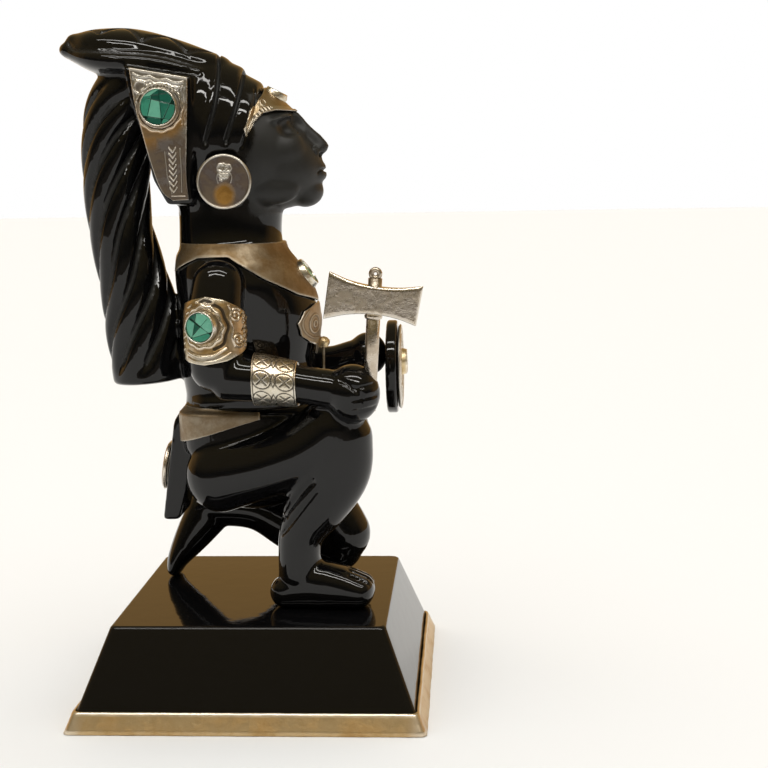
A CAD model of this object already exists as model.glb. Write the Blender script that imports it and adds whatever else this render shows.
import bpy
import bmesh
import math
import random
import time
from mathutils import Matrix, Vector
from mathutils.bvhtree import BVHTree
from mathutils.kdtree import KDTree


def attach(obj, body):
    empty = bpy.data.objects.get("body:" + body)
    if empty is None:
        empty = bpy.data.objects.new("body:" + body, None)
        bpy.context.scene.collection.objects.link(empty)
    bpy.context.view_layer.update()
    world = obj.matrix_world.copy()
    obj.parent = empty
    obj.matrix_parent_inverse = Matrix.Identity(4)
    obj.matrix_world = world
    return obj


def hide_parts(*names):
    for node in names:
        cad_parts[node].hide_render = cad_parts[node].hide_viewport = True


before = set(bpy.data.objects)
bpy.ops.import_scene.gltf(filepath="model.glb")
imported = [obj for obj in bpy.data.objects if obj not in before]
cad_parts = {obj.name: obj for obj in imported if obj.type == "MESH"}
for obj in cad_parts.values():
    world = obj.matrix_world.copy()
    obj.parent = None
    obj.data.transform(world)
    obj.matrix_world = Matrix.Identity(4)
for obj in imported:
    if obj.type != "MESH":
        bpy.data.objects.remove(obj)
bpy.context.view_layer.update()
mm = 0.001   # everything is modelled in millimetres and scaled as it becomes a piece
right, left = -1, 1


shot = {"place": (0.0803, -0.544, 0.1924), "yaw": -3.40, "pitch": 7.97, "roll": -0.95, "lens": 67.12}
room = {
    "skyHigh": (0.24, 0.185, 0.085), "skyBehind": (0.60, 0.35, 0.12), "skyFront": (0.05, 0.045, 0.03),
    "skyLow": (0.20, 0.165, 0.12),
    "backdrop": (1.0, 1.0, 1.0), "tubeLength": 1.9, "tubeWide": 0.10, "tubeHeight": 1.5,
    "tubesAt": (-1.12, -0.50), "tubePower": 7.0, "softPower": 3.1,
    "soft": (0.96, 0.98, 1.0), "floor": (0.84, 0.86, 0.885), "floorFront": -0.95, "floorBack": 9.0,
}


def addCamera():
    camera = bpy.data.objects.new("camera", bpy.data.cameras.new("camera"))
    camera.data.lens = shot["lens"]
    camera.data.sensor_width = 36
    camera.data.clip_start = 0.01
    turn = Matrix.Rotation(-math.radians(shot["yaw"]), 4, "Z")
    tip = Matrix.Rotation(math.radians(90 - shot["pitch"]), 4, "X")
    roll = Matrix.Rotation(math.radians(shot["roll"]), 4, "Z")
    camera.matrix_world = Matrix.Translation(shot["place"]) @ turn @ tip @ roll
    bpy.context.scene.collection.objects.link(camera)
    bpy.context.scene.camera = camera


class Flow:
    # an output socket that can be added, multiplied and so on, as a number can
    def __init__(self, tree, socket):
        self.tree = tree
        self.socket = socket

    def maths(self, operation, *values):
        node = self.tree.nodes.new("ShaderNodeMath")
        node.operation = operation
        for slot, value in zip(node.inputs, values):
            if isinstance(value, Flow):
                self.tree.links.new(value.socket, slot)
            else:
                slot.default_value = value
        return Flow(self.tree, node.outputs[0])

    def __add__(self, other):
        return self.maths("ADD", self, other)

    __radd__ = __add__

    def __sub__(self, other):
        return self.maths("SUBTRACT", self, other)

    def __rsub__(self, other):
        return self.maths("SUBTRACT", other, self)

    def __mul__(self, other):
        return self.maths("MULTIPLY", self, other)

    __rmul__ = __mul__

    def __truediv__(self, other):
        return self.maths("DIVIDE", self, other)

    def __pow__(self, other):
        return self.maths("POWER", self, other)

    def clamp(self):
        return self.maths("MAXIMUM", self.maths("MINIMUM", self, 1.0), 0.0)

    def over(self, low, high):
        # 0 below low, 1 above high
        return ((self - low) / (high - low)).clamp()


def addNode(tree, kind, settings=None, values=None, out=0):
    # settings come first: a ramp's stops are a list of (place, colour)
    node = tree.nodes.new(kind)
    for name, value in (settings or {}).items():
        if name == "stops":
            ramp = node.color_ramp
            while len(ramp.elements) < len(value):
                ramp.elements.new(0.5)
            for element, (place, colour) in zip(ramp.elements, value):
                element.position = place
                element.color = (*colour, 1)
        else:
            setattr(node, name, value)
    for name, value in (values or {}).items():
        if isinstance(value, Flow):
            tree.links.new(value.socket, node.inputs[name])
        elif isinstance(value, tuple) and len(value) == 3 and node.inputs[name].type == "RGBA":
            node.inputs[name].default_value = (*value, 1)
        else:
            node.inputs[name].default_value = value
    return Flow(tree, node.outputs[out])


def mixColour(tree, share, low, high):
    return addNode(tree, "ShaderNodeMix", {"data_type": "RGBA"}, {0: share, 6: low, 7: high}, 2)


def addLight():
    world = bpy.data.worlds.new("studio")
    bpy.context.scene.world = world
    world.use_nodes = True
    tree = world.node_tree
    way = addNode(tree, "ShaderNodeTexCoord")
    split = tree.nodes.new("ShaderNodeSeparateXYZ")
    tree.links.new(way.socket, split.inputs[0])
    back = Flow(tree, split.outputs[1])
    up = Flow(tree, split.outputs[2])
    behind = mixColour(tree, up.over(0.36, 0.75), room["skyBehind"], room["skyHigh"])
    front = mixColour(tree, up.over(0.12, 0.42), room["skyFront"], room["skyHigh"])
    front = mixColour(tree, up.over(-0.05, 0.03), room["skyLow"], front)
    colour = mixColour(tree, back.over(-0.15, 0.25), front, behind)
    seen = addNode(tree, "ShaderNodeLightPath")
    colour = mixColour(tree, seen, colour, room["backdrop"])
    ground = tree.nodes["Background"]
    tree.links.new(colour.socket, ground.inputs[0])
    for i, y in enumerate(room["tubesAt"]):
        tube = bpy.data.lights.new(f"tube{i}", "AREA")
        tube.shape = "RECTANGLE"
        tube.size, tube.size_y = room["tubeLength"], room["tubeWide"]
        tube.energy = room["tubePower"] * (1 + y * y / 2)
        tube.color = (1.0, 0.98, 0.94)
        lamp = bpy.data.objects.new(f"tube{i}", tube)
        lamp.location = (0.05, y, room["tubeHeight"])
        aim = Vector((0, 0, 0.15)) - Vector((0, y, room["tubeHeight"]))
        lamp.rotation_euler = aim.to_track_quat("-Z", "Y").to_euler()
        lamp.visible_diffuse = False
        bpy.context.scene.collection.objects.link(lamp)
    soft = bpy.data.lights.new("soft", "SUN")
    soft.energy = room["softPower"]
    soft.color = room["soft"]
    soft.angle = math.radians(110)
    lamp = bpy.data.objects.new("soft", soft)
    lamp.visible_glossy = False
    bpy.context.scene.collection.objects.link(lamp)


def addFloor():
    bm = bmesh.new()
    bmesh.ops.create_grid(bm, x_segments=1, y_segments=1, size=1)
    middle = (room["floorFront"] + room["floorBack"]) / 2
    bmesh.ops.scale(bm, vec=(4, (room["floorBack"] - room["floorFront"]) / 2, 1), verts=bm.verts)
    bmesh.ops.translate(bm, vec=(0, middle, 0), verts=bm.verts)
    mesh = bpy.data.meshes.new("floor")
    bm.to_mesh(mesh)
    bm.free()
    material = bpy.data.materials.new("paleFloor")
    material.use_nodes = True
    shader = material.node_tree.nodes["Principled BSDF"]
    shader.inputs["Base Color"].default_value = (*room["floor"], 1)
    shader.inputs["Roughness"].default_value = 0.9
    shader.inputs["Specular IOR Level"].default_value = 0.1
    mesh.materials.append(material)
    floor = bpy.data.objects.new("floor", mesh)
    bpy.context.scene.collection.objects.link(floor)


addCamera()
addLight()
addFloor()
bpy.context.scene.view_settings.view_transform = "Standard"
print("camera, light and floor")


def newFinish(name, **constants):
    material = bpy.data.materials.new(name)
    material.use_nodes = True
    tree = material.node_tree
    shader = tree.nodes["Principled BSDF"]
    for socket, value in constants.items():
        shader.inputs[socket.replace("_", " ")].default_value = value
    return material, tree, shader


def feed(tree, shader, **flows):
    for socket, flow in flows.items():
        tree.links.new(flow.socket, shader.inputs[socket.replace("_", " ")])


def objectPlace(tree):
    return addNode(tree, "ShaderNodeTexCoord", out=3)


def noise(tree, scale, detail=3, rough=0.5, warp=0.0):
    values = {"Vector": objectPlace(tree), "Scale": scale, "Detail": detail, "Roughness": rough,
              "Distortion": warp}
    return addNode(tree, "ShaderNodeTexNoise", None, values)


def painted(tree, name):
    return addNode(tree, "ShaderNodeAttribute", {"attribute_name": name}, out=2)


silverLook = {"gilt": (0.55, 0.30, 0.08), "rubbed": (0.84, 0.80, 0.72), "oxide": (0.035, 0.028, 0.022)}
stoneLook = {"polished": 0.045, "dull": 0.46, "black": (0.0035, 0.0035, 0.004), "dusty": (0.017, 0.017, 0.016)}


def obsidianFinish():
    material, tree, shader = newFinish("obsidian", Roughness=0.05, IOR=1.42)
    dull = painted(tree, "dull")
    cloud = noise(tree, 90, 4)
    haze = noise(tree, 900, 2).over(0.45, 0.75)
    rough = stoneLook["polished"] + dull * (stoneLook["dull"] - stoneLook["polished"])
    rough = rough + haze * 0.03 + cloud.over(0.55, 0.8) * 0.02
    colour = mixColour(tree, (dull * (0.7 + cloud * 0.5)).clamp(), stoneLook["black"], stoneLook["dusty"])
    wave = addNode(tree, "ShaderNodeBump", None, {"Height": noise(tree, 130, 2), "Strength": 0.05, "Distance": 0.001})
    feed(tree, shader, Base_Color=colour, Roughness=rough, Normal=wave)
    return material


def silverFinish(name, bright, brown, yellow, cover, rough=0.24, gold=0.35, scale=110):
    # worn sheet: bright where it is rubbed, a bloom in patches, yellow at their edges, black in the engraving
    material, tree, shader = newFinish(name, Metallic=1.0)
    patches = noise(tree, scale, 6, 0.62, 0.4)
    fine = noise(tree, scale * 7, 4, 0.7)
    rub = painted(tree, "rub")
    bloom = (patches * 0.8 + fine * 0.2).over(0.62 - cover * 0.5, 0.78 - cover * 0.38)
    bloom = ((bloom + painted(tree, "bloom")) * (1 - rub * 0.85)).clamp()
    rim = (patches.over(0.42, 0.6) * (1 - patches.over(0.56, 0.74)) * gold).clamp()
    colour = mixColour(tree, bloom, bright, brown)
    colour = mixColour(tree, rim, colour, yellow)
    colour = mixColour(tree, (painted(tree, "gilt") * (0.5 + patches)).clamp(), colour, silverLook["gilt"])
    colour = mixColour(tree, (rub * 0.8).clamp(), colour, silverLook["rubbed"])
    ink = painted(tree, "oxide")
    colour = mixColour(tree, (ink * 0.92).clamp(), colour, silverLook["oxide"])
    roughness = rough + bloom * 0.14 + fine * 0.10 + ink * 0.3 - rub * 0.05
    dents = addNode(tree, "ShaderNodeBump", None,
                    {"Height": noise(tree, 420, 4, 0.6) + patches * 0.7, "Strength": 0.22, "Distance": 0.0006})
    feed(tree, shader, Base_Color=colour, Roughness=roughness, Normal=dents)
    return material


def malachiteFinish():
    material, tree, shader = newFinish("malachite", Roughness=0.16, Coat_Weight=0.5, Coat_Roughness=0.05)
    chip = painted(tree, "chip")
    grain = noise(tree, 420, 5, 0.65, 1.2)
    tone = (chip * 0.86 + grain * 0.24 - 0.05).clamp()
    stops = [(0.0, (0.004, 0.035, 0.026)), (0.35, (0.012, 0.13, 0.085)), (0.65, (0.06, 0.33, 0.22)),
             (1.0, (0.22, 0.60, 0.44))]
    colour = addNode(tree, "ShaderNodeValToRGB", {"stops": stops}, {"Fac": tone})
    feed(tree, shader, Base_Color=colour)
    return material


obsidian = obsidianFinish()
plateSilver = silverFinish("plateSilver", (0.62, 0.60, 0.56), (0.15, 0.12, 0.115), (0.46, 0.36, 0.2), 0.34)
bandSilver = silverFinish("bandSilver", (0.72, 0.69, 0.62), (0.32, 0.24, 0.15), (0.58, 0.46, 0.24), 0.22, gold=0.5)
capeSilver = silverFinish("capeSilver", (0.34, 0.30, 0.23), (0.13, 0.10, 0.065), (0.30, 0.22, 0.12), 0.45, rough=0.38)
axeSilver = silverFinish("axeSilver", (0.62, 0.56, 0.49), (0.36, 0.28, 0.22), (0.55, 0.46, 0.30), 0.26, rough=0.2)
plinthBrass = silverFinish("plinthBrass", (0.80, 0.66, 0.42), (0.50, 0.34, 0.16), (0.76, 0.58, 0.30), 0.30,
                           rough=0.34, scale=60)
armSilver = silverFinish("armSilver", (0.56, 0.48, 0.36), (0.22, 0.15, 0.08), (0.55, 0.42, 0.18), 0.34, gold=0.6,
                         scale=160)
diademSilver = silverFinish("diademSilver", (0.52, 0.45, 0.34), (0.22, 0.16, 0.10), (0.50, 0.38, 0.2), 0.34)
malachite = malachiteFinish()
print("materials")


def newPiece(name, bm, material, nodes=(), smooth=True):
    bmesh.ops.scale(bm, vec=(mm, mm, mm), verts=bm.verts)
    mesh = bpy.data.meshes.new(name)
    bm.to_mesh(mesh)
    bm.free()
    mesh.polygons.foreach_set("use_smooth", [smooth] * len(mesh.polygons))
    mesh.materials.append(material)
    piece = bpy.data.objects.new(name, mesh)
    bpy.context.scene.collection.objects.link(piece)
    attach(piece, "root")
    if nodes:
        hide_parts(*nodes)
    return piece


def addModifier(piece, kind, **settings):
    modifier = piece.modifiers.new(kind.lower(), kind)
    for name, value in settings.items():
        setattr(modifier, name, value)
    return modifier


def through(stations, t):
    # a smooth curve through lists of numbers, t from 0 to 1
    last = len(stations) - 1
    i = min(int(t * last), last - 1)
    f = t * last - i
    b, c = stations[i], stations[i + 1]
    a = stations[i - 1] if i else [2 * p - q for p, q in zip(b, c)]
    d = stations[i + 2] if i + 2 <= last else [2 * q - p for p, q in zip(b, c)]
    return [0.5 * (2 * q + (r - p) * f + (2 * p - 5 * q + 4 * r - s) * f * f + (3 * (q - r) + s - p) * f ** 3)
            for p, q, r, s in zip(a, b, c, d)]


def pour(part, heap):
    # adds a form to a heap of forms
    mesh = bpy.data.meshes.new("form")
    part.to_mesh(mesh)
    part.free()
    heap.from_mesh(mesh)
    bpy.data.meshes.remove(mesh)


def loft(heap, stations, sides=40, steps=8, square=2, domes=(1, 1), ribs=None):
    # a closed form through stations (x, y, z, deep, wide) with a dome at each end
    caps = 6
    body = (len(stations) - 1) * steps
    rings = body + 2 * caps
    part = bmesh.new()
    bmesh.ops.create_uvsphere(part, u_segments=sides, v_segments=rings, radius=1)
    for vert in part.verts:
        ring = rings - round(math.acos(max(-1, min(1, vert.co.z))) / math.pi * rings)
        inBody = max(0, min(body, ring - caps))
        beyond = ring - caps - inBody
        t = inBody / body
        x, y, z, deep, wide = through(stations, t)
        ahead = Vector(through(stations, min(1, t + 0.01))[:3])
        along = (ahead - Vector(through(stations, max(0, t - 0.01))[:3])).normalized()
        across = (Vector((0, 1, 0)) - along * along.y).normalized()
        outward = along.cross(across)
        angle = math.atan2(vert.co.y, vert.co.x)
        reach = 1.0
        if ribs:
            reach, angle = ribs(angle, t)
        c, s = math.cos(angle), math.sin(angle)
        reach *= (abs(c) ** square + abs(s) ** square) ** (-1 / square)
        lean = abs(beyond) / caps * math.pi / 2
        if ring in (0, rings):
            reach = 0
        push = math.sin(lean) * min(deep, wide) * (domes[0] if beyond < 0 else domes[1])
        place = Vector((x, y, z)) + outward * (deep * math.cos(lean) * reach * c)
        place += across * (wide * math.cos(lean) * reach * s)
        vert.co = place + along * (push if beyond > 0 else -push)
    pour(part, heap)


def ball(heap, place, radii, lean=0):
    part = bmesh.new()
    turn = Matrix.Rotation(math.radians(lean), 4, "Y")
    shape = Matrix.Translation(place) @ turn @ Matrix.Diagonal((*radii, 1))
    bmesh.ops.create_uvsphere(part, u_segments=40, v_segments=28, radius=1, matrix=shape)
    pour(part, heap)


def slab(heap, outline, near, far, round=0.6):
    # an outline in the XZ plane carried along Y, its corners eased
    part = bmesh.new()
    face = part.faces.new([part.verts.new((x, near, z)) for x, z in outline])
    made = bmesh.ops.extrude_face_region(part, geom=[face])["geom"]
    top = [item for item in made if isinstance(item, bmesh.types.BMVert)]
    bmesh.ops.translate(part, vec=(0, far - near, 0), verts=top)
    if round:
        bmesh.ops.bevel(part, geom=part.edges[:], offset=round, affect="EDGES", segments=3, profile=0.5, material=-1)
    bmesh.ops.recalc_face_normals(part, faces=part.faces)
    pour(part, heap)


def turned(heap, profile, foot, axis, steps=64):
    # a profile of (radius, height) spun round an axis
    part = bmesh.new()
    verts = [part.verts.new((r, 0, h)) for r, h in profile]
    edges = [part.edges.new(pair) for pair in zip(verts, verts[1:])]
    bmesh.ops.spin(part, geom=verts + edges, cent=(0, 0, 0), axis=(0, 0, 1), angle=2 * math.pi,
                   steps=steps, use_merge=True, use_duplicate=False)
    bmesh.ops.remove_doubles(part, verts=part.verts, dist=1e-4)
    turn = Vector((0, 0, 1)).rotation_difference(Vector(axis)).to_matrix().to_4x4()
    bmesh.ops.transform(part, matrix=Matrix.Translation(foot) @ turn, verts=part.verts)
    bmesh.ops.recalc_face_normals(part, faces=part.faces)
    pour(part, heap)


clock = [time.time()]


def stage(note):
    print(note, round(time.time() - clock[0], 1), "s")


def eased(share):
    share = max(0.0, min(1.0, share))
    return share * share * (3 - 2 * share)


figureForms = {
    "trunk": [(-3, 0, 80, 20, 20), (-2.4, 0, 97, 24.6, 24.5), (-2.4, 0, 110.6, 25, 23), (-2.4, 0, 113.4, 26.4, 24.2),
              (-3, 0, 116.4, 25.6, 22.6), (-4.4, 0, 127, 25.6, 21.8), (-4, 0, 143, 27, 23.5),
              (-6.8, 0, 155, 24, 25.5), (-9, 0, 165, 20.6, 21), (-9.5, 0, 175, 19.5, 17.5), (-9, 0, 188, 20, 17)],
    "hood": [(-7.2, 0, 154, 23.8, 25.4), (-9.4, 0, 162.5, 22, 24.6), (-10.2, 0, 169.5, 20.2, 20)],
    "hips": [(-3, 0, 94, 25.4, 25), (-3, 0, 108.6, 26, 24.4)],
    "dish": [(-17, 0, 233.6, 3.4, 15), (-34, 0, 237, 5, 20), (-54, 0, 239, 5, 18), (-68, 0, 243.5, 3, 8)],
    "pod": [(-12, 0, 236, 5, 9), (-28, 0, 239, 8, 14.5), (-44, 0, 242.5, 8.8, 16), (-58, 0, 245, 6.6, 13),
            (-66, 0, 246.5, 3.6, 7)],
    "braid": [(-42, 0, 236, 12, 14), (-50, 0, 220, 13.5, 15), (-52.5, 0, 200, 13, 15), (-51.8, 0, 178, 12.3, 14.5),
              (-47.5, 0, 157, 13.5, 14), (-44.5, 0, 140, 15, 13.5), (-42.8, 0, 119, 14, 13)],
    "rightFore": [(-8, -31, 123.6, 9, 8.8), (6, -31.5, 122.4, 8.2, 8.4), (19, -31.5, 120.6, 7, 7.4),
                  (29, -31.5, 119, 7.2, 7.6)],
    "leftFore": [(-7, 31, 123.6, 8.8, 8.8), (8, 31, 121.4, 8.2, 8.4), (24, 28, 120.6, 7.2, 7.4),
                 (35, 27, 123.4, 7, 7.4)],
    "rightThigh": [(-13.5, -17, 84, 14, 13), (2, -20.5, 88, 12.4, 13), (18, -23, 94, 12.4, 12.8),
                   (31, -23.5, 103, 13, 12.5)],
    "rightShin": [(31, -23.5, 101, 14, 12.5), (29.5, -23.5, 88, 14.6, 12.5), (23.5, -23.5, 75, 12.2, 11),
                  (17.3, -23.5, 62, 8.4, 8.6), (16.5, -23.5, 47, 8, 8.2)],
    "rightFoot": [(11, -23.5, 41, 6, 7), (22, -23.5, 43.5, 9, 8.4), (31, -23.5, 43, 8, 9.2),
                  (40, -23.5, 41.4, 6, 9.6)],
    "leftThigh": [(-12, 16, 84, 14, 13), (6, 20, 74, 13.4, 13.4), (22, 22, 61, 12.6, 12.6), (28, 22, 52, 12.4, 12)],
    "leftShin": [(27, 22, 46.5, 10, 10.5), (10, 22, 54, 10, 10.5), (-6, 22, 62, 8.4, 9), (-24, 21, 63.5, 7.6, 8)],
    "leftFoot": [(-25, 21, 62, 9.5, 7.6), (-32, 21, 52, 7.4, 8.2), (-38, 21, 43, 4.8, 8.8), (-40, 21, 38, 3.2, 9)],
}
figure = {
    "ground": 35.6, "voxel": 0.7, "triangles": 192000, "shieldSeat": 47.7,
    "strands": 8, "ropeTurns": -0.9, "grooveDepth": 0.185,
    "headMiddle": (-1, 209), "headTilt": 17, "chinDrop": 31, "browRise": 4,
}
noseDrop = (figure["chinDrop"] - figure["browRise"]) / 2 - 1
mouthDrop = noseDrop + (figure["chinDrop"] - noseDrop) / 3


def onHead(forward, y, up):
    # a point in the tilted head's own frame
    tilt = math.radians(figure["headTilt"])
    x = figure["headMiddle"][0] + forward * math.cos(tilt) - up * math.sin(tilt)
    return Vector((x, y, figure["headMiddle"][1] + forward * math.sin(tilt) + up * math.cos(tilt)))


def ropeRibs(angle, t):
    # broad rounded strands with narrow grooves that run out near both ends
    wave = abs(math.sin(figure["strands"] * angle / 2))
    fade = eased((t - 0.05) / 0.12) * eased((0.99 - t) / 0.07)
    groove = eased(1 - wave / 0.62)
    swell = 0.035 * (1 - wave * wave)
    turn = angle + figure["ropeTurns"] * 2 * math.pi * t
    return 1 - fade * (figure["grooveDepth"] * groove + swell), turn


def addFace(bm):
    nose = [(18.6, 0, 4, 2.2, 2.2), (21.2, 0, -2.5, 2.5, 2.3), (23.6, 0, -7, 2.7, 2.6),
            (25.0, 0, 1.8 - noseDrop, 3, 3)]
    loft(bm, [(*onHead(*station[:3]), *station[3:]) for station in nose], domes=(0.6, 0.75))
    ball(bm, onHead(15.4, 0, -17.6), (7.2, 9.4, 8.4), -17)
    ball(bm, onHead(21.4, 0, 1.35 - mouthDrop), (3.1, 6.6, 1.75), -17)
    ball(bm, onHead(20.9, 0, -1.75 - mouthDrop), (3.1, 5.6, 1.95), -17)
    ball(bm, onHead(14.4, 0, 6.4 - figure["chinDrop"]), (6.6, 8, 5.6), -17)
    for side in (right, left):
        ball(bm, onHead(21.4, side * 3.5, 0.9 - noseDrop), (3.1, 2, 2.2), -17)
        ball(bm, onHead(13, side * 8, figure["browRise"] - 0.6), (6.8, 7.6, 1.8), -17)
        ball(bm, onHead(9.4, side * 8.4, -8), (11, 8, 9.5), -17)
        ball(bm, onHead(2, side * 11.5, -19), (12, 4.6, 6.5), 4)


def addHair(bm):
    bands = [((-19.6, 212), 4.6, 7, 29.4, 21.2), ((-10.8, 211), 3.9, 9, 27.2, 21.4), ((-3.3, 210), 3.3, 11, 22.6, 21)]
    for (x, z), half, lean, up, wide in bands:
        step = Vector((half * math.cos(math.radians(lean)), 0, -half * math.sin(math.radians(lean))))
        ends = [Vector((x, 0, z)) - step, Vector((x, 0, z)) + step]
        loft(bm, [(*ends[0], up + 1, wide + 0.5), (*ends[1], up - 1, wide - 0.5)], sides=72, domes=(0.07, 0.07))


def addBody(bm):
    forms = figureForms
    loft(bm, forms["trunk"], sides=64, domes=(0.6, 0.2))
    loft(bm, forms["hood"], sides=64, domes=(0.1, 0.15))
    loft(bm, forms["hips"], sides=64, square=3.4, domes=(0.25, 0.05))
    loft(bm, forms["dish"], square=2.6, domes=(1, 1.4))
    loft(bm, forms["pod"])
    loft(bm, forms["braid"], sides=200, steps=14, domes=(0.4, 0.12), ribs=ropeRibs)
    loft(bm, forms["rightFore"], domes=(0.6, 1))
    loft(bm, forms["leftFore"], domes=(0.6, 1))
    for name in ("rightThigh", "leftThigh", "leftShin"):
        loft(bm, forms[name])
    loft(bm, forms["rightShin"], domes=(0.8, 0.5))
    loft(bm, forms["rightFoot"], square=2.6, domes=(1, 0.8))
    loft(bm, forms["leftFoot"], domes=(0.6, 0.8))
    ball(bm, (-6, 0, 207), (30, 20.5, 23), 30)
    ball(bm, (9.5, 0, 198.6), (17, 16, 15.1))
    ball(bm, (-8, 0, 197), (21, 18, 13))
    ball(bm, (38.5, -32, 117.2), (10, 9.6, 10.8))
    ball(bm, (40, 27, 124.6), (8, 8.8, 8.8))
    for side in (right, left):
        loft(bm, [(-10.5, side * 26, 157, 9.6, 9), (-11.5, side * 29.5, 144, 10.2, 9.8),
                  (-11, side * 31, 127.5, 10, 9.6)])
        turned(bm, [(0, 0), (7.5, 0), (7.5, 9.5), (0, 9.5)], (-7, side * 16, 194), (0, side, 0))
    slab(bm, [(-43.5, 236), (-41.5, 224), (-37.5, 211), (-34, 195), (-29, 186), (-19.5, 186), (-18.5, 232)], -22, 22)
    slab(bm, [(-20, 106), (-28, 110), (-32, 104), (-37.5, 65.5), (-31, 65.5), (-27, 80), (-22, 92)], -11.5, 11.5, 0.9)


def settledMesh(bm, voxel, smoothing):
    # all forms grown together into one skin
    mesh = bpy.data.meshes.new("rough")
    bm.to_mesh(mesh)
    bm.free()
    rough = bpy.data.objects.new("rough", mesh)
    bpy.context.scene.collection.objects.link(rough)
    addModifier(rough, "REMESH", mode="VOXEL", voxel_size=voxel)
    grown = bmesh.new()
    grown.from_object(rough, bpy.context.evaluated_depsgraph_get())
    bpy.data.objects.remove(rough)
    for _ in range(smoothing):
        bmesh.ops.smooth_vert(grown, verts=grown.verts, factor=0.5, use_axis_x=True, use_axis_y=True, use_axis_z=True)
    return grown


def finer(bm, keep):
    faces = [face for face in bm.faces if keep(face.calc_center_median())]
    edges = list({edge for face in faces for edge in face.edges})
    bmesh.ops.subdivide_edges(bm, edges=edges, cuts=1, use_grid_fill=True)
    bm.normal_update()


def skinPath(tree, points, cast, count=60):
    # a curve through plan points, dropped onto the skin by a ray for each
    found = []
    for i in range(count + 1):
        start, way = cast(*through(points, i / count))
        hit = tree.ray_cast(start, way)[0]
        if hit:
            found.append(hit)
    return found


def carve(region, path, width, depth, dull=0.0, ends=0.15):
    # sinks the skin along a path, or raises it where depth is below zero
    verts, layer = region
    if len(path) < 2:
        return
    tree = KDTree(len(path))
    for i, point in enumerate(path):
        tree.insert(point, i)
    tree.balance()
    low = Vector([min(p[k] for p in path) - width for k in range(3)])
    high = Vector([max(p[k] for p in path) + width for k in range(3)])
    moves = []
    for vert in verts:
        co = vert.co
        if not (low.x < co.x < high.x and low.y < co.y < high.y and low.z < co.z < high.z):
            continue
        spot, i, distance = tree.find(co)
        if distance < width:
            share = i / (len(path) - 1)
            fade = 1.0 if not ends else eased(min(share, 1 - share) / ends)
            bite = (1 - (distance / width) ** 2) ** 2 * fade
            moves.append((vert, co - vert.normal * (depth * bite)))
            if dull:
                vert[layer] = max(vert[layer], dull * eased(bite * 2.2))
    for vert, place in moves:
        vert.co = place


def fromSide(side):
    return lambda x, z: (Vector((x, side * 90, z)), Vector((0, -side, 0)))


def fromFront(y, up):
    origin = onHead(60, y, up)
    return origin, (onHead(0, y, up) - origin).normalized()


def carveHair(region, tree):
    for top, foot, lean in (((-11.9, 240.5), (-14.3, 206.5), 2.5), ((-2.4, 236), (-6.8, 209.5), 1.4)):
        path = []
        for side in (right, left):
            half = []
            for i in range(90):
                angle = math.radians(-8 + 98 * i / 89)
                x = foot[0] + (top[0] - foot[0]) * math.sin(max(0, angle)) + lean * math.sin(2 * max(0, angle))
                centre = Vector((x, 0, 209))
                way = Vector((0, side * math.cos(angle), math.sin(angle)))
                hit = tree.ray_cast(centre + way * 60, -way)[0]
                if hit:
                    half.append(hit)
            path = half + path[::-1] if side == left else half
        carve(region, path, 1.15, 1.5, dull=1.0, ends=0.05)
    front = [(2.8, 229), (3.4, 222), (2.4, 216), (0.2, 210.5), (-1.6, 205)]
    for side in (right, left):
        carve(region, skinPath(tree, front, fromSide(side)), 1.0, 0.7, ends=0.1)


def carveFace(region, tree):
    for side in (right, left):
        socket = [(side * 5.4, 0.6), (side * 8.4, 0.2), (side * 11.4, -0.4)]
        carve(region, skinPath(tree, socket, fromFront), 5.2, 2.1, ends=0)
        carve(region, skinPath(tree, [(side * 7.2, 0), (side * 8.6, 0)], fromFront, 8), 3.9, -1.9, ends=0)
        upper = [(side * 3.9, -1.3), (side * 5.6, 1.1), (side * 8.2, 2.0), (side * 10.8, 1.0), (side * 12.6, -0.9)]
        lower = [(side * 4.0, -1.5), (side * 6.0, -2.5), (side * 8.4, -2.8), (side * 10.6, -2.2), (side * 12.4, -1.0)]
        crease = [(side * 4.4, 1.0), (side * 6.0, 2.9), (side * 8.4, 3.7), (side * 11.2, 2.8), (side * 13.4, 0.6)]
        carve(region, skinPath(tree, upper, fromFront), 0.95, -0.75)
        carve(region, skinPath(tree, lower, fromFront), 0.8, -0.5)
        carve(region, skinPath(tree, crease, fromFront), 0.8, 0.4)
        nostril = [(side * 1.9, -0.6 - noseDrop), (side * 3.2, -0.7 - noseDrop)]
        carve(region, skinPath(tree, nostril, fromFront, 8), 1.2, 1.2, ends=0)
        wing = [(side * 3.4, 3.6 - noseDrop), (side * 5.6, 2.4 - noseDrop), (side * 5.6, -0.6 - noseDrop)]
        carve(region, skinPath(tree, wing, fromFront), 0.9, 0.5)
    mouth = [(-6.8, -0.9 - mouthDrop), (-3.6, -0.1 - mouthDrop), (0, -0.5 - mouthDrop), (3.6, -0.1 - mouthDrop),
             (6.8, -0.9 - mouthDrop)]
    carve(region, skinPath(tree, mouth, fromFront), 0.9, 1.0, ends=0.1)
    carve(region, skinPath(tree, [(0, -1.0 - noseDrop), (0, 3.2 - mouthDrop)], fromFront, 20), 1.2, 0.35)


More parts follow.
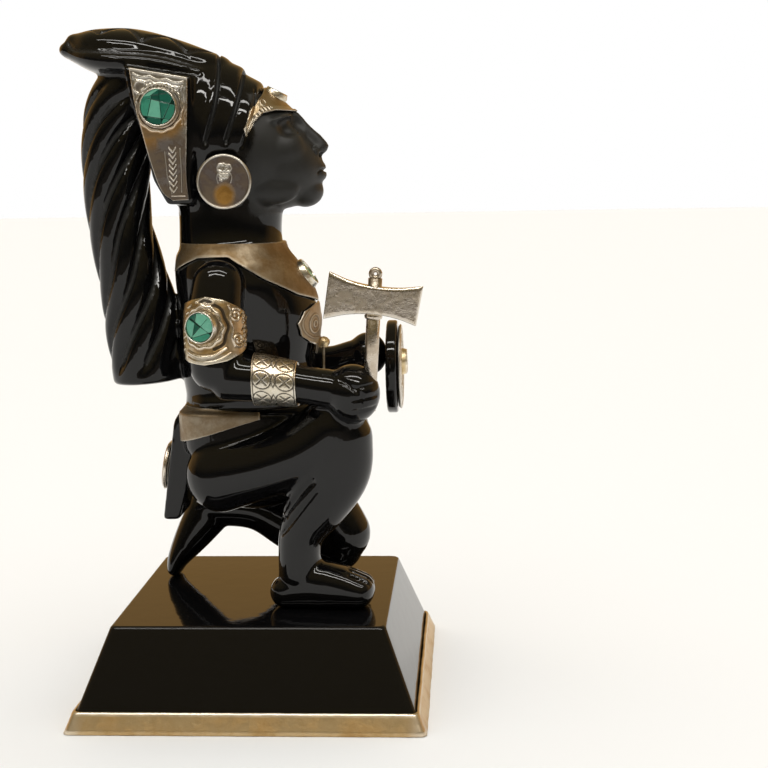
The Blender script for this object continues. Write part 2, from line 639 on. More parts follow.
def carveCrest(region, tree):
    # a lattice of grooves on the pod, and the groove between the pod and its dish
    def above(x, y):
        return Vector((x, y, 290)), Vector((0, 0, -1))
    for side in (right, left):
        points = [(-14, 0.2), (-22, 0.88), (-30, 0.25), (-38, 0.9), (-46, 0.25), (-54, 0.9), (-60, 0.3)]
        for (x0, s0), (x1, s1) in zip(points, points[1:]):
            y0, y1 = (side * s * through(figureForms["pod"], (-12 - x) / 54)[4] for x, s in ((x0, s0), (x1, s1)))
            carve(region, skinPath(tree, [(x0, y0), (x1, y1)], above, 40), 1.2, 1.0, dull=0.8, ends=0.06)
        rim = [(-14, 12.0), (-26, 16.0), (-40, 18.0), (-54, 16.0), (-64, 10.5), (-69, 4)]
        carve(region, skinPath(tree, [(x, side * y) for x, y in rim], above), 1.3, 0.8, dull=0.7)


def carveLimbs(region, tree):
    def down(x, y):
        return Vector((x, y, 70)), Vector((0, 0, -1))
    for i in range(4):
        y = -23.5 + (i - 1.5) * 3.9
        carve(region, skinPath(tree, [(34.5, y), (49.5, y)], down, 40), 1.1, 1.6, ends=0.2)
        carve(region, [Vector((-44.2 + 0.1 * k, 15 + i * 4, 36 + k * 0.5)) for k in range(24)], 1.3, 1.2)
    knee = [(7, 64), (12, 72), (19, 81), (25, 87)]
    carve(region, skinPath(tree, knee, fromSide(right)), 2.2, 1.3)
    carve(region, skinPath(tree, [(9, 62), (14, 68), (21, 77), (26.5, 84)], fromSide(right)), 1.2, 0.5)
    for i in range(3):
        z = 112.5 + i * 4.2
        carve(region, skinPath(tree, [(38, z - 1), (44, z), (48.6, z + 0.6)], fromSide(right)), 1.1, 0.55)
    carve(region, skinPath(tree, [(33, 124), (38, 121.5), (42, 118), (43, 113)], fromSide(right)), 1.5, 0.6)


def paintDull(bm):
    # the face and the floors of the braid's grooves are left unpolished
    layer = bm.verts.layers.float["dull"]
    stations = figureForms["braid"]
    spine = [Vector(through(stations, i / 120)[:3]) for i in range(121)]
    tree = KDTree(len(spine))
    for i, point in enumerate(spine):
        tree.insert(point, i)
    tree.balance()
    for vert in bm.verts:
        co = vert.co
        if co.x > 0 and 182 < co.z < 226 and abs(co.y) < 22:
            hairline = 2.6 - 0.02 * (co.z - 214) ** 2
            vert[layer] = max(vert[layer], eased((co.x - hairline) / 1.5))
        elif co.x < -30 and co.z < 238:
            spot, i, distance = tree.find(co)
            if distance > 18:
                continue
            deep, wide = through(stations, i / 120)[3:]
            reach = math.hypot((distance ** 2 - co.y ** 2) ** 0.5 / deep if distance > abs(co.y) else 0, co.y / wide)
            vert[layer] = max(vert[layer], eased((0.93 - reach) / 0.06))


def makeFigure():
    bm = bmesh.new()
    addBody(bm)
    addHair(bm)
    addFace(bm)
    bm = settledMesh(bm, figure["voxel"], 8)
    stage(f"figure: forms grown together, {len(bm.verts)} vertices")
    finer(bm, lambda p: p.x > 3 and 180 < p.z < 224 and abs(p.y) < 19)
    finer(bm, lambda p: -18 < p.x < 4.5 and 202 < p.z < 246 and p.z > 226 - abs(p.y) * 1.2)
    for _ in range(3):
        bmesh.ops.smooth_vert(bm, verts=[v for v in bm.verts if v.co.z > 180 and v.co.x > -20], factor=0.5,
                              use_axis_x=True, use_axis_y=True, use_axis_z=True)
    bm.normal_update()
    layer = bm.verts.layers.float.new("dull")
    tree = BVHTree.FromBMesh(bm)
    head = [vert for vert in bm.verts if vert.co.x > -26 and vert.co.z > 180]
    carveHair((head, layer), tree)
    carveFace(([vert for vert in head if vert.co.x > 0], layer), tree)
    carveCrest(([vert for vert in bm.verts if vert.co.z > 228], layer), tree)
    carveLimbs(([vert for vert in bm.verts if vert.co.z < 126], layer), tree)
    bm.normal_update()
    stage("figure: carved")
    paintDull(bm)
    for vert in bm.verts:
        vert.co.z = max(vert.co.z, figure["ground"])
        if vert.co.y > 15 and vert.co.z > 100:
            vert.co.x = min(vert.co.x, figure["shieldSeat"])
    bmesh.ops.triangulate(bm, faces=bm.faces)
    count = len(bm.faces)
    whole = newPiece("figureStone", bm, obsidian, ["figure"])
    addModifier(whole, "DECIMATE", ratio=min(1, figure["triangles"] / count))
    thinned = bpy.data.meshes.new_from_object(whole.evaluated_get(bpy.context.evaluated_depsgraph_get()))
    whole.modifiers.clear()
    whole.data = thinned
    thinned.polygons.foreach_set("use_smooth", [True] * len(thinned.polygons))
    stage(f"figure: {count} triangles thinned to {len(thinned.polygons)}")
    return whole


stoneFigure = makeFigure()
skin = bmesh.new()
skin.from_mesh(stoneFigure.data)
bmesh.ops.scale(skin, vec=(1 / mm,) * 3, verts=skin.verts)
skinTree = BVHTree.FromBMesh(skin)
skin.free()


class Strokes:
    # lines drawn on a sheet's plan: above zero they stand up, below it they are cut in and dark
    def __init__(self):
        self.points = []
        self.widest = 0.1

    def line(self, points, wide, high):
        points = [Vector((*point, 0)) for point in points]
        for a, b in zip(points, points[1:]):
            count = max(1, math.ceil((b - a).length / 0.16))
            self.points += [(a.lerp(b, i / count), wide, high) for i in range(count + 1)]
        self.widest = max(self.widest, wide)

    def curve(self, points, wide, high, count=40):
        self.line([through(points, i / count) for i in range(count + 1)], wide, high)

    def ring(self, centre, radius, wide, high, waves=0, swing=0, start=0, sweep=360, spiral=0, flat=1):
        turns = [math.radians(start + sweep * i / 72) for i in range(73)]
        sizes = [radius + swing * math.cos(waves * turn) + spiral * i / 72 for i, turn in enumerate(turns)]
        self.line([(centre[0] + size * math.cos(turn), centre[1] + size * math.sin(turn) * flat)
                   for size, turn in zip(sizes, turns)], wide, high)

    def settle(self):
        self.tree = KDTree(max(1, len(self.points)))
        for i, (point, wide, high) in enumerate(self.points):
            self.tree.insert(point, i)
        self.tree.balance()
        return self

    def at(self, plan):
        up, down, dark = 0.0, 0.0, 0.0
        for spot, i, distance in self.tree.find_range((*plan, 0), self.widest * 1.6):
            wide, high = self.points[i][1:]
            share = distance / wide
            bite = (1 - share * share) ** 2 if share < 1 else 0.0
            if high > 0:
                up = max(up, high * bite)
                dark = max(dark, 0.55 * max(0.0, 1 - abs(share - 1.05) / 0.5))
            else:
                down = min(down, high * bite)
                dark = max(dark, eased(bite * 1.8))
        return up + down, dark * (1 - min(1, up * 4))


noStrokes = Strokes().settle()


def sheetPiece(name, cells, place, outward, material, nodes, strokes=noStrokes, tone=None, thick=0.8, closed=False,
               settle=2, edge=0.25):
    # a thin sheet laid out by place(u, v), which gives a point and its plan, with its relief along the normal
    bm = bmesh.new()
    bmesh.ops.create_grid(bm, x_segments=cells[0], y_segments=cells[1], size=0.5)
    layers = [bm.verts.layers.float.new(kind) for kind in ("oxide", "rub", "bloom", "gilt")]
    plans, steps = {}, {}
    for vert in bm.verts:
        u, v = vert.co.x + 0.5, vert.co.y + 0.5
        steps[vert] = min(v, 1 - v) * cells[1] if not closed else (1 - v) * cells[1]
        if not closed:
            steps[vert] = min(steps[vert], min(u, 1 - u) * cells[0])
        vert.co, plans[vert] = place(u, v)
    if closed:
        bmesh.ops.remove_doubles(bm, verts=bm.verts, dist=1e-4)
    inner = [vert for vert in bm.verts if not vert.is_boundary]
    for _ in range(settle):
        bmesh.ops.smooth_vert(bm, verts=inner, factor=0.5, use_axis_x=True, use_axis_y=True, use_axis_z=True)
    bm.normal_update()
    if sum(vert.normal.dot(outward(vert.co)) for vert in bm.verts) < 0:
        bmesh.ops.reverse_faces(bm, faces=bm.faces)
        bm.normal_update()
    pitch = sum(e.calc_length() for e in bm.edges) / len(bm.edges)
    for vert in bm.verts:
        height, dark = strokes.at(plans[vert])
        border = max(0.0, 1 - steps[vert] * pitch / 0.6)
        rub, bloom, gilt = tone(plans[vert]) if tone else (0, 0, 0)
        for layer, value in zip(layers, (dark, max(rub, border * 0.9, min(0.7, height * 2)), bloom, gilt)):
            vert[layer] = value
        plans[vert] = vert.co + vert.normal * (height - edge * border * border)
    for vert in bm.verts:
        vert.co = plans[vert]
    piece = newPiece(name, bm, material, nodes)
    addModifier(piece, "SOLIDIFY", thickness=thick * mm, offset=-1)
    return piece


sheetLift = 1.35   # from the stone to the outer face of a sheet laid on it


def draped(start, way, lift=None):
    hit = skinTree.ray_cast(start, way)[0]
    if not hit:
        hit = skinTree.find_nearest(start + way * 20)[0]
    return hit - way * (lift or sheetLift)


def byTable(table, at):
    # straight-line values from rows (at, value, value...)
    if at <= table[0][0]:
        return table[0][1:]
    for low, high in zip(table, table[1:]):
        if at <= high[0]:
            f = (at - low[0]) / (high[0] - low[0])
            return tuple(p + (q - p) * f for p, q in zip(low[1:], high[1:]))
    return table[-1][1:]


def standing(foot, axis):
    # a frame whose third axis is given and whose second points as far up as it can
    axis = Vector(axis).normalized()
    up = (Vector((0, 0, 1)) - axis * axis.z).normalized()
    across = up.cross(axis)
    return Matrix.Translation(foot) @ Matrix((across, up, axis)).transposed().to_4x4()


def addBezel(name, foot, axis, radius, material, wide=0.95, low=-1.6, high=1.75):
    bm = bmesh.new()
    profile = [(radius + 0.05, low), (radius + 0.05, high), (radius + 0.14, high + 0.16), (radius + 0.3, high + 0.2),
               (radius + 0.46, high + 0.1), (radius + 0.6, high - 0.35), (radius + wide * 0.8, high - 0.9),
               (radius + wide, high - 1.5), (radius + wide + 0.1, low), (radius + 0.05, low)]
    turned(bm, profile, foot, axis, 96)
    rub = bm.verts.layers.float.new("rub")
    axis = Vector(axis).normalized()
    for vert in bm.verts:
        vert[rub] = 0.9 * eased(((vert.co - Vector(foot)).dot(axis) - high + 0.5) / 0.4)
    return newPiece(name, bm, material)


def addStone(name, foot, axis, radius, node, cuts, tones, seed):
    # chips cut from one disc, each a little proud, tilted and of its own green, over a dark bed
    rng = random.Random(seed)
    heap = bmesh.new()
    turned(heap, [(0, 0), (radius, 0), (radius, 0.9), (0, 0.9)], (0, 0, 0), (0, 0, 1), 64)
    part = bmesh.new()
    bmesh.ops.create_circle(part, cap_ends=True, segments=72, radius=radius - 0.06)
    for a, b, across, up in cuts:
        geometry = part.verts[:] + part.edges[:] + part.faces[:]
        bmesh.ops.bisect_plane(part, geom=geometry, plane_co=(a, b, 0), plane_no=(across, up, 0), dist=1e-5)
    layer = part.verts.layers.float.new("chip")
    bmesh.ops.inset_individual(part, faces=part.faces, thickness=0.09, use_even_offset=True)
    bmesh.ops.split_edges(part, edges=part.edges)
    slivers = [face for face in part.faces if face.calc_area() <= 0.25 * radius]
    bmesh.ops.delete(part, geom=slivers, context="FACES")
    tops = bmesh.ops.extrude_discrete_faces(part, faces=part.faces[:])["faces"]
    for i, face in enumerate(sorted(tops, key=lambda f: -f.calc_area())):
        middle = face.calc_center_median()
        rise = 1.55 + rng.uniform(-0.14, 0.14)
        lean = Vector((rng.uniform(-0.035, 0.035), rng.uniform(-0.035, 0.035), 0))
        tone = tones[i % len(tones)]
        for vert in face.verts:
            vert.co.z = rise + lean.dot(vert.co - middle)
            vert[layer] = tone
    bmesh.ops.inset_individual(part, faces=tops, thickness=0.14, depth=0.07, use_even_offset=True)
    pour(part, heap)
    bmesh.ops.transform(heap, matrix=standing(foot, axis), verts=heap.verts)
    bmesh.ops.recalc_face_normals(heap, faces=heap.faces)
    return newPiece(name, heap, malachite, [node], smooth=False)


plates = {
    "rear": [(-26.5, 187.4), (-30.6, 191), (-33.6, 199), (-36.8, 211), (-39.4, 223), (-41, 235.5)],
    "front": [(-20.8, 187.6), (-21.0, 192), (-21.2, 199), (-20.7, 210), (-20.2, 220), (-19.8, 231.6)],
    "face": 23.4, "stone": (-30.5, 221), "stoneRadius": 6.3,
}


def plateStrokes():
    rear, front = plates["rear"], plates["front"]

    def inPlate(u, v, drop=0.0):
        a, b = through(rear, v), through(front, v)
        return a[0] + (b[0] - a[0]) * u, a[1] + (b[1] - a[1]) * u - drop
    drawn = Strokes()
    drawn.line([inPlate(u / 20, 1, 0.55) for u in range(21)], 0.5, 0.3)
    for drop, high in ((3.0, 0.32), (4.6, 0.32)):
        drawn.line([inPlate(0.07 + 0.86 * u / 60, 1, drop + 0.85 * abs(math.sin(math.pi * u / 20)) - 1.0)
                    for u in range(61)], 0.42, high)
    drawn.ring((-37.0, 228.3), 2.3, 0.55, 0.45)
    drawn.ring((-24.4, 227.3), 0.9, 0.5, 0.4)
    for i in range(7):
        x = -34.0 + i * 1.25
        drawn.line([(x - 0.45, 227.6 - 0.08 * i), (x + 0.55, 229.5 - 0.1 * i)], 0.38, 0.38)
    drawn.line([(-34.6, 226.9), (-31, 227.6), (-26.6, 226.6)], 0.35, 0.25)
    drawn.ring(plates["stone"], 8.5, 0.6, 0.42, waves=13, swing=0.18)
    drawn.ring(plates["stone"], 7.75, 0.35, -0.2)
    for inset in (1.3, 2.4):
        drawn.line([(-19.9 - inset + 0.28 * math.sin(i * 0.75), 229.5 - i * 0.5) for i in range(30)], 0.38, 0.28)
    drawn.line([(-39.0 + 0.05 * i, 232 - i * 0.62) for i in range(22)], 0.35, 0.25)
    for i in range(8):
        z = 206.5 - i * 2.05
        drawn.line([(-27.4, z), (-26.1, z - 1.7), (-24.9, z)], 0.42, 0.36)
    drawn.line([(-23.3, 206), (-23.0, 198), (-23.2, 190.5)], 0.38, 0.28)
    drawn.line([(-28.9, 205), (-28.3, 197), (-26.8, 190)], 0.35, 0.22)
    drawn.line([(-27.0, 189), (-22, 189)], 0.35, 0.25)
    return drawn.settle()


def plateTone(plan):
    x, z = plan
    low = eased((214 - z) / 6)
    away = math.hypot(x + 30.5, z - 221)
    by = eased((10.5 - abs(away - 9.4) * 3) / 10) * eased((225 - z) / 6)
    rear = eased((216 - z) / 5) * eased((z - 204) / 6) * eased((-30.5 - x) / 2)
    return 0.0, 0.75 * low - 0.25 * (1 - low), max(0.75 * by, 0.7 * rear)


def addPlate(side, hand, drawn):
    def place(u, v):
        a, b = through(plates["rear"], v), through(plates["front"], v)
        x, z = a[0] + (b[0] - a[0]) * u, a[1] + (b[1] - a[1]) * u
        return Vector((x, side * plates["face"], z)), (x, z)
    sheetPiece(f"headdressPlate_{hand}", (90, 200), place, lambda co: Vector((0, side, 0)), plateSilver,
               [f"headdress_plate_{hand}"], drawn, plateTone, thick=1.1, settle=0)
    x, z = plates["stone"]
    foot, axis = (x, side * 23.7, z), (0, side, 0)
    addBezel(f"headdressBezel_{hand}", foot, axis, plates["stoneRadius"], bandSilver, wide=0.9)
    cuts = [(0.9, 0, 1, 0.05), (-2.9, 0.6, 1, -0.24), (-0.5, -3.8, 0.16, 1), (2.5, 1.6, 0.25, 1),
            (3.4, -1.2, 1, -0.5), (0, 4.4, -0.1, 1)]
    tones = [0.95, 0.62, 0.5, 0.42, 0.3, 0.24, 0.12, 0.34, 0.2]
    addStone(f"headdressStone_{hand}", foot, axis, plates["stoneRadius"], f"headdress_stone_{hand}", cuts, tones, 3)


def addEarDisc(side, hand):
    drawn = Strokes()
    drawn.ring((0, 0), 9.45, 0.55, 0.3)
    drawn.ring((-0.9, 5.2), 1.0, 0.45, 0.4, start=-60, sweep=470, spiral=0.6)
    drawn.ring((1.6, 5.0), 0.8, 0.42, 0.36, start=240, sweep=-430, spiral=0.7)
    for i in range(14):
        drawn.ring((-1.4 + 0.55 * (i % 6), 2.8 - 1.05 * (i // 6) - 0.25 * (i % 2)), 0.22, 0.34, 0.3)
    drawn.curve([(-1.9, 3.4), (-2.6, 1.6), (-2.2, -0.4)], 0.36, 0.22)
    drawn.curve([(2.2, 3.4), (2.9, 1.6), (2.4, -0.4)], 0.36, 0.22)
    drawn.settle()

    def place(u, v):
        turn = 2 * math.pi * u
        a, b = 10 * v * math.cos(turn), 10 * v * math.sin(turn)
        rise = 0.4 * eased((v - 0.88) / 0.05)
        return Vector((-7 - side * a, side * (26.9 + rise), 194 + b)), (a, b)

    def tone(plan):
        a, b = plan
        size = math.hypot(a, b)
        motif = eased((3.6 - math.hypot(a * 1.3, b - 3.6)) / 1.2)
        low = eased((5.2 - math.hypot(a * 1.1, b + 4.6)) / 3)
        return max(eased((size - 9) / 0.5) * 0.9, motif * 0.45), 0.9 * (1 - motif) * (1 - low), low * 1.1

    sheetPiece(f"earDisc_{hand}", (128, 44), place, lambda co: Vector((0, side, 0)), plateSilver,
               [f"ear_disc_{hand}"], drawn, tone, thick=1.0, closed=True, settle=0)


def armStrokes():
    drawn = Strokes()
    middle = (-2.85, 0.8)
    drawn.ring(middle, 7.3, 1.0, 0.5, waves=11, swing=0.28)
    drawn.ring(middle, 6.5, 0.5, 0.3)
    drawn.ring(middle, 9.3, 0.95, -0.5, waves=9, swing=0.3, start=-62, sweep=124)
    drawn.ring((10.2, 4.6), 0.7, 0.6, 0.5, start=200, sweep=-520, spiral=1.9)
    drawn.ring((10.4, -4.2), 0.7, 0.6, 0.5, start=160, sweep=520, spiral=1.9)
    drawn.curve([(7.6, 8.0), (8.4, 6.0), (7.6, 3.6), (8.3, 0.4), (7.7, -3), (8.6, -6.4)], 0.6, 0.45)
    drawn.curve([(-6.5, 9.4), (-2.4, 11.0), (1.6, 9.4), (-2.4, 8.8), (-6.5, 9.4)], 0.45, 0.4)
    drawn.line([(-5.5, 9.6), (-2.4, 10.1), (0.8, 9.4)], 0.7, -0.35)
    drawn.curve([(-9, -8.2), (-4, -9.8), (1, -9.4), (5.4, -7.0)], 0.7, 0.45)
    drawn.curve([(-9, -10.4), (-4, -11.8), (2, -11.2), (7, -8.6)], 0.45, 0.3)
    for i in range(11):
        a = 12.6 + (i % 4) * 1.5
        b = -6 + i * 1.25
        drawn.line([(a, b), (a + 1.1, b + 0.9)], 0.42, 0.3 if i % 2 else -0.3)
    for i in range(9):
        drawn.ring((14.2 + 0.4 * math.sin(i * 2.1), -6.4 + i * 1.7), 0.55, 0.38, 0.34)
    for i in range(8):
        drawn.line([(-12.5 + 0.3 * i, -8 + 2.2 * i), (-11 + 0.3 * i, -7.2 + 2.2 * i)], 0.5, 0.34)
    return drawn.settle()


armLow = [(-100, 131.5), (-50, 129.8), (-10, 129.0), (30, 130.4), (65, 132.8), (100, 135.5)]
armHigh = [(-100, 150), (-50, 152.4), (-10, 153.6), (30, 152.4), (65, 149.4), (100, 145)]


def addArmband(side, hand, drawn):
    def place(u, v):
        turn = -100 + 200 * u
        low, high = byTable(armLow, turn)[0], byTable(armHigh, turn)[0]
        z = low + (high - low) * v
        away = Vector((math.sin(math.radians(turn)), side * math.cos(math.radians(turn)), 0))
        start = Vector((-11.4, side * 29.8, z)) + away * 17
        return draped(start, -away), (math.radians(turn) * 10.8, z - 142)

    def tone(plan):
        a, b = plan
        edge = eased((abs(b) - 8.6) / 1.5)
        return 0.45 * edge, 0.1 - 0.3 * edge, 0.4 * (1 - edge) * eased((a + 9) / 5)

    def outward(co):
        return Vector((co.x + 11.4, co.y - side * 29.8, 0))

    sheetPiece(f"armbandSheet_{hand}", (170, 120), place, outward, armSilver, [f"armband_{hand}"], drawn, tone,
               settle=3)
    foot, axis = (-14.4, side * 41.1, 142.8), (-0.26, side * 0.96, 0.02)
    addBezel(f"armBezel_{hand}", foot, axis, 5.2, bandSilver, low=-2.2, wide=0.7)
    cuts = [(0.6, 0.2, 0.62, 0.78), (1.6, 1.5, -0.72, 0.69), (0.2, -2.9, -0.3, 1), (-1.6, 2.8, 0.95, -0.2),
            (2.9, -1.5, 0.5, 0.8)]
    tones = [0.92, 0.86, 0.8, 0.58, 0.88, 0.16, 0.3, 0.1, 0.45]
    addStone(f"armbandStone_{hand}", foot, axis, 5.2, f"armband_stone_{hand}", cuts, tones, 5)


def addWristband(side, hand):
    drawn = Strokes()
    for row in range(-3, 4):
        b = row * 7.6 + 1.4
        for a in (-4.1, 4.1):
            drawn.ring((a, b), 3.3, 0.32, -0.16)
            for turn in (45, 135):
                step = Vector((math.cos(math.radians(turn)), math.sin(math.radians(turn)))) * 2.5
                drawn.line([(a - step.x, b - step.y), (a + step.x, b + step.y)], 0.36, -0.18)
            drawn.line([(a - 0.6, b), (a + 0.6, b)], 0.3, 0.14)
        drawn.line([(-0.9, b), (0, b + 2.4), (0.9, b), (0, b - 2.4), (-0.9, b)], 0.28, -0.14)
    for a in (-7.3, 7.3):
        drawn.line([(a, -29), (a, 29)], 0.3, -0.1)
    drawn.settle()
    stations = figureForms[f"{hand}Fore"]
    path = [(x, y, z) for x, y, z, deep, wide in stations]

    def place(u, v):
        x = 2.6 + 16 * u
        turn = math.radians(-172 + 344 * v)
        y, z = byTable(path, x)
        away = Vector((0, side * math.cos(turn), math.sin(turn)))
        reach = 14 if math.cos(turn) > 0 else 9.9   # the inner side starts between the arm and the trunk
        return draped(Vector((x, y, z)) + away * reach, -away), (x - 10.6, turn * 9.6)

    def tone(plan):
        return 0.25, -0.3, 0.4 * eased((plan[1] - 1) / 4)

    def outward(co):
        y, z = byTable(path, co.x)
        return Vector((0, co.y - y, co.z - z))
    sheetPiece(f"wristbandSheet_{hand}", (64, 230), place, outward, bandSilver, [f"wristband_{hand}"], drawn, tone,
               settle=3)


def addCape():
    low = [(0, 148.6), (30, 152), (60, 158.5), (90, 166.7), (120, 166.5), (150, 161)]

    def place(u, v):
        turn = -150 + 300 * u
        bottom = byTable(low, abs(turn))[0]
        z = bottom + (171.5 - bottom) * v
        away = Vector((math.cos(math.radians(turn)), math.sin(math.radians(turn)), 0))
        return draped(Vector((-7, 0, z)) + away * 45, -away), (turn, z - bottom)

    def tone(plan):
        return 0.25 * eased((1.2 - plan[1]) / 0.8), 0.15, 0.15
    sheetPiece("capeSheet", (240, 56), place, lambda co: Vector((co.x + 7, co.y, 0)), capeSilver, ["cape"], tone=tone,
               settle=6)
    foot, axis = (18.8, 0, 158.8), (0.82, 0, 0.57)
    addBezel("broochBezel", foot, axis, 5.2, bandSilver, low=-3)
    cuts = [(0.8, 0, 1, 0.2), (-1, 1, 0.3, 1), (1.5, -2, -0.4, 1)]
    addStone("broochStone", foot, axis, 5.2, "brooch_stone", cuts, [0.8, 0.55, 0.7, 0.3, 0.5], 7)


def addPendant():
    half = [(128, 0.3), (130, 3.4), (133.2, 5), (133.6, 9.5), (136.2, 14), (141, 15.6), (145.6, 13), (148.2, 5)]

    def place(u, v):
        z = 128 + 20.2 * v
        y = (2 * u - 1) * byTable(half, z)[0]
        return draped(Vector((60, y, z)), Vector((-1, 0, 0))), (y, z)
    drawn = Strokes()
    for side in (right, left):
        drawn.ring((side * 7.5, 140.5), 3.4, 0.5, 0.35)
        drawn.ring((side * 7.5, 140.5), 1.2, 0.5, 0.35)
        lobe = [(side * 3, 134.6), (side * 9, 135.4), (side * 13, 138), (side * 14, 142), (side * 11, 145.6)]
        drawn.curve(lobe, 0.4, 0.25)
    drawn.settle()
    sheetPiece("pendantSheet", (100, 72), place, lambda co: Vector((1, 0, 0)), capeSilver, ["pendant"], drawn,
               lambda plan: (0.15, 0.0, 0.25), settle=4)
    bm = bmesh.new()
    ball(bm, (24.9, 0, 132.6), (2.5, 2.5, 2.1))
    rng = random.Random(11)
    for vert in bm.verts:
        vert.co += Vector([rng.uniform(-0.12, 0.12) for _ in range(3)])
    newPiece("pendantClasp", bm, plinthBrass)
    bm = bmesh.new()
    loft(bm, [(25, 0, 132, 0.7, 1.5), (24.9, 0, 128, 0.6, 1.0), (24.8, 0, 122.4, 0.6, 1.3)], sides=20, domes=(0.5, 1))
    newPiece("pendantTassel", bm, capeSilver)


def addDiadem():
    bounds = [(0, 30, 63), (20, 31, 61), (36, 32, 54), (52, 30, 45), (65, 21, 33), (73, 8, 16)]
    aim = Vector((-6, 0, 207))

    def place(u, v):
        turn = -73 + 146 * u
        low, high = byTable(bounds, abs(turn))
        rise = math.radians(low + (high - low) * v)
        spin = math.radians(turn)
        plan = (spin * 22, (rise - math.radians(low)) * 24)
        away = Vector((math.cos(rise) * math.cos(spin), math.cos(rise) * math.sin(spin), math.sin(rise)))
        return draped(aim + away * 70, -away), plan
    drawn = Strokes()
    for side in (right, left):
        for i in range(12):
            a = side * (15 + i * 0.85)
            drawn.line([(a, 0.6), (a + side * 0.7, 2.2)], 0.32, 0.25 if i % 2 else -0.2)
        drawn.ring((side * 18, 4.6), 1.5, 0.4, 0.25)
    drawn.line([(-27, 0.5), (27, 0.5)], 0.45, 0.3)
    drawn.settle()

    def tone(plan):
        return 0.5 * eased((2.6 - plan[1]) / 1.4), 0.2 * eased((plan[1] - 2) / 4), 0.1
    sheetPiece("diademSheet", (220, 60), place, lambda co: co - aim, diademSilver, ["diadem"], drawn, tone, settle=5)
    foot, axis = (9, 0, 225.8), (0.45, 0, 0.89)
    addBezel("diademBezel", foot, axis, 3.6, bandSilver, low=-2)
    addStone("diademStone", foot, axis, 3.6, "diadem_stone", [(0.4, 0, 1, 0.3), (-0.5, 0.8, 0.2, 1)],
             [0.75, 0.4, 0.6, 0.25], 9)


def addHipPlate(side, hand):
    low = [(-30, 96.5), (-15, 101), (-6, 104), (4, 107)]
    high = [(-30, 110.4), (-17, 110.4), (4, 109.4)]

    def place(u, v):
        turn = math.radians(76 + 78 * u)
        away = Vector((math.cos(turn), side * math.sin(turn), 0))
        skin = draped(Vector((-3, 0, 108)) + away * 46, -away)
        bottom, top = byTable(low, skin.x)[0], byTable(high, skin.x)[0]
        z = bottom + (top - bottom) * v
        return draped(Vector((-3, 0, z)) + away * 46, -away), (math.radians(turn) * 1300, z - 104)
    sheetPiece(f"hipPlate_{hand}", (100, 44), place, lambda co: Vector((co.x + 3, co.y, 0)), capeSilver,
               [f"hip_plate_{hand}"], noStrokes, lambda plan: (0.1, 0.25, 0.1), settle=5)


def addApron():
    def place(u, v):
        z = 88 + 22 * v
        y = (2 * u - 1) * (6 + v)
        return draped(Vector((45, y, z)), Vector((-1, 0, 0))), (y, z)
    drawn = Strokes()
    for i in range(4):
        drawn.line([(-3.6, 91 + i * 5), (0, 93.4 + i * 5), (3.6, 91 + i * 5)], 0.45, 0.3)
    sheetPiece("apronSheet", (50, 80), place, lambda co: Vector((1, 0, 0)), capeSilver, ["apron"], drawn.settle(),
               lambda plan: (0.15, 0.1, 0.15), settle=4)


def addFlapDisc():
    top, foot = Vector((-32, 0, 104)), Vector((-37.5, 0, 65.5))
    down = (foot - top).normalized()
    axis = Vector((down.z, 0, -down.x))
    matrix = standing((top + foot) / 2 + axis * 0.9, axis)
    drawn = Strokes()
    drawn.ring((0, 0), 8.6, 0.6, 0.4)
    drawn.ring((0, 0), 5.6, 0.45, 0.3, waves=8, swing=0.5)
    drawn.ring((0, 0), 2.2, 0.6, 0.4)
    drawn.settle()

    def place(u, v):
        a, b = 9.5 * v * math.cos(2 * math.pi * u), 9.5 * v * math.sin(2 * math.pi * u)
        return matrix @ Vector((a, b, 1.5)), (a, b)
    sheetPiece("flapDisc", (96, 40), place, lambda co: axis, bandSilver, ["flap_disc"], drawn,
               lambda plan: (0.2, 0.0, 0.35), thick=1.4, closed=True, settle=0)


shieldLook = {"foot": (48, 27, 119.5), "radius": 18.6, "thick": 4.2, "stone": (53.9, 27, 121.5), "stoneRadius": 4.4}


def addShield():
    radius, thick = shieldLook["radius"], shieldLook["thick"]
    x, y, z = shieldLook["foot"]
    bm = bmesh.new()
    edge = [(radius - 1 + math.sin(math.radians(a)), 1 - math.cos(math.radians(a))) for a in range(0, 91, 15)]
    profile = [(0, 0)] + edge + [(r, thick - h) for r, h in edge[::-1]] + [(0, thick)]
    turned(bm, profile, (x, y, z), (1, 0, 0), 128)
    newPiece("shieldStone", bm, obsidian, ["shield"])
    drawn = Strokes()
    for size in (8.2, 12.6):
        drawn.ring((0, 0), size, 0.6, 0.35)
    for i in range(16):
        turn = math.radians(i * 22.5)
        near = (9 * math.cos(turn), 9 * math.sin(turn))
        far = (12 * math.cos(turn + 0.1), 12 * math.sin(turn + 0.1))
        drawn.line([near, far], 0.6, 0.35)
    drawn.ring((0, 0), 16.2, 0.8, 0.3)
    drawn.settle()

    def place(u, v):
        a, b = 17 * v * math.cos(2 * math.pi * u), 17 * v * math.sin(2 * math.pi * u)
        return Vector((x + thick + 1.4, y + a, z + b)), (a, b)
    sheetPiece("shieldFace", (128, 56), place, lambda co: Vector((1, 0, 0)), bandSilver, ["shield_plate"], drawn,
               lambda plan: (0.2, 0.1, 0.1), thick=1.1, closed=True, settle=0)
    foot, axis = shieldLook["stone"], (1, 0, 0)
    addBezel("shieldBezel", foot, axis, shieldLook["stoneRadius"], plinthBrass, low=-0.6, wide=0.95)
    addStone("shieldBoss", foot, axis, shieldLook["stoneRadius"], "shield_stone",
             [(0.5, 0, 1, 0.4), (-0.6, 1, 0.2, 1), (0, -1.6, -0.3, 1)], [0.8, 0.5, 0.65, 0.3, 0.15], 13)


